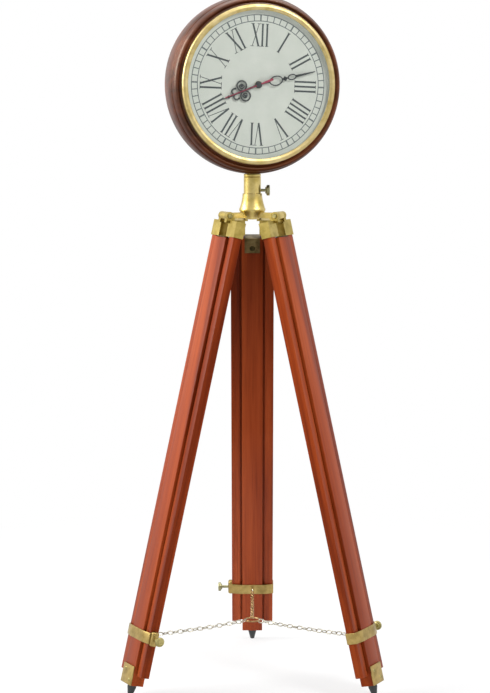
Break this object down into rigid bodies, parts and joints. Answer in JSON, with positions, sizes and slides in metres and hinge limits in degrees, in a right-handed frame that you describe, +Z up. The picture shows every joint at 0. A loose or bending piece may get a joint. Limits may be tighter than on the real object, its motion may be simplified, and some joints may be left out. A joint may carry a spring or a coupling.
{
  "type": "tripod floor clock",
  "caption": "Round analogue clock on a brass post and hub, standing on a wooden tripod with sliding leg boards, clamp bands and spreader chains.",
  "frame": {"origin": "middle of the model's box at floor level, under the tripod", "axes": "+Z up, -Y the side that the picture shows, +X to the viewer's right"},
  "size_m": [0.4568, 0.4208, 1.1998],
  "materials": {
    "brass": "satin, slightly worn",
    "rail_wood": "semi-gloss varnish",
    "slide_wood": "semi-gloss varnish",
    "case_wood": "dark stain, satin varnish",
    "chain_steel": "dulled plating",
    "spike_iron": "blackened",
    "glass": "clear",
    "spacer_white": "matte",
    "dial_face": "matte print",
    "movement_black": "fine texture",
    "cover_grey": "fine texture",
    "battery_jacket": "gloss sleeve",
    "hand_black": "satin black",
    "second_red": "satin red",
    "back_board": "dark stain, matte"
  },
  "bodies": {
    "hub": {"hub": "brass", "back_pivot_pin": "brass", "left_pivot_pin": "brass", "right_pivot_pin": "brass", "chain_ring": "chain_steel"},
    "back_leg": {"back_rail_a": "rail_wood", "back_rail_b": "rail_wood", "back_rail_cap_a": "brass", "back_rail_cap_b": "brass", "back_clamp_band": "brass", "back_chain": "chain_steel"},
    "back_slider": {"back_slide": "slide_wood", "back_slide_plate": "brass", "back_foot_plate": "brass", "back_spike": "spike_iron"},
    "back_screw": {"back_clamp_screw": "brass"},
    "left_leg": {"left_rail_a": "rail_wood", "left_rail_b": "rail_wood", "left_rail_cap_a": "brass", "left_rail_cap_b": "brass", "left_clamp_band": "brass", "left_chain": "chain_steel"},
    "left_slider": {"left_slide": "slide_wood", "left_slide_plate": "brass", "left_foot_plate": "brass", "left_spike": "spike_iron"},
    "left_screw": {"left_clamp_screw": "brass"},
    "right_leg": {"right_rail_a": "rail_wood", "right_rail_b": "rail_wood", "right_rail_cap_a": "brass", "right_rail_cap_b": "brass", "right_clamp_band": "brass", "right_chain": "chain_steel"},
    "right_slider": {"right_slide": "slide_wood", "right_slide_plate": "brass", "right_foot_plate": "brass", "right_spike": "spike_iron"},
    "right_screw": {"right_clamp_screw": "brass"},
    "post": {"stem_spigot": "brass"},
    "post_screw": {"stem_clamp_screw": "brass"},
    "clock_head": {"case_ring": "case_wood", "bezel": "brass", "glass": "glass", "glass_spacer": "spacer_white", "dial": "dial_face", "movement_case": "movement_black", "movement_cover": "cover_grey", "centre_nut": "brass", "battery": "battery_jacket", "back_board": "back_board", "back_screw_a": "brass", "back_screw_b": "brass", "back_screw_c": "brass"},
    "hour": {"hour_wheel": "brass", "hour_hand": "hand_black"},
    "minute": {"minute_wheel": "brass", "minute_hand": "hand_black"},
    "second": {"second_wheel": "brass", "second_hand": "second_red"},
    "knob": {"set_knob": "movement_black"}
  },
  "joints": [
    {"name": "back_leg_fold", "type": "hinge", "parent": "hub", "child": "back_leg", "pos_m": [0, 0.00975, 0.824], "axis": [-1, 0, 0], "range_deg": [0, 13.76], "deforming": ["back_chain"]},
    {"name": "back_leg_extend", "type": "slide", "parent": "back_leg", "child": "back_slider", "axis": [0, 0.2379, -0.9713], "range_m": [0, 0.45]},
    {"name": "back_clamp_turn", "type": "hinge", "parent": "back_leg", "child": "back_screw", "pos_m": [0, 0.17479, 0.10762], "axis": [-1, 0, 0], "range_deg": [0, 360]},
    {"name": "left_leg_fold", "type": "hinge", "parent": "hub", "child": "left_leg", "pos_m": [-0.04529, -0.0687, 0.824], "axis": [0.5, -0.866, 0], "range_deg": [0, 13.76], "deforming": ["left_chain"]},
    {"name": "left_leg_extend", "type": "slide", "parent": "left_leg", "child": "left_slider", "axis": [-0.206, -0.1189, -0.9713], "range_m": [0, 0.45]},
    {"name": "left_clamp_turn", "type": "hinge", "parent": "left_leg", "child": "left_screw", "pos_m": [-0.18821, -0.15121, 0.10762], "axis": [0.5, -0.866, 0], "range_deg": [0, 360]},
    {"name": "right_leg_fold", "type": "hinge", "parent": "hub", "child": "right_leg", "pos_m": [0.04529, -0.0687, 0.824], "axis": [0.5, 0.866, 0], "range_deg": [0, 13.76], "deforming": ["right_chain"]},
    {"name": "right_leg_extend", "type": "slide", "parent": "right_leg", "child": "right_slider", "axis": [0.206, -0.1189, -0.9713], "range_m": [0, 0.45]},
    {"name": "right_clamp_turn", "type": "hinge", "parent": "right_leg", "child": "right_screw", "pos_m": [0.18821, -0.15121, 0.10762], "axis": [0.5, 0.866, 0], "range_deg": [0, 360]},
    {"name": "stem_clamp_turn", "type": "hinge", "parent": "hub", "child": "post_screw", "pos_m": [0, -0.04255, 0.8664], "axis": [1, 0, 0], "range_deg": [0, 360]},
    {"name": "post_lift", "type": "slide", "parent": "hub", "child": "post", "axis": [0, 0, 1], "range_m": [0, 0.03]},
    {"name": "head_turn", "type": "hinge", "parent": "post", "child": "clock_head", "pos_m": [0, -0.04255, 1.0474], "axis": [0, 0, 1], "continuous": true},
    {"name": "minute_turn", "type": "hinge", "parent": "clock_head", "child": "minute", "pos_m": [0, -0.04255, 1.0474], "axis": [-0.2807, 0.9598, 0], "continuous": true},
    {"name": "hour_turn", "type": "hinge", "parent": "clock_head", "child": "hour", "pos_m": [0, -0.04255, 1.0474], "axis": [-0.2807, 0.9598, 0], "continuous": true},
    {"name": "second_turn", "type": "hinge", "parent": "clock_head", "child": "second", "pos_m": [0, -0.04255, 1.0474], "axis": [-0.2807, 0.9598, 0], "continuous": true},
    {"name": "set_knob_turn", "type": "hinge", "parent": "clock_head", "child": "knob", "pos_m": [0.01344, -0.03862, 1.0514], "axis": [-0.2807, 0.9598, 0], "continuous": true}
  ],
  "couplings": [
    {"joint": "hour_turn", "follows": "minute_turn", "ratio": 0.083333},
    {"joint": "set_knob_turn", "follows": "minute_turn", "ratio": -3}
  ]
}
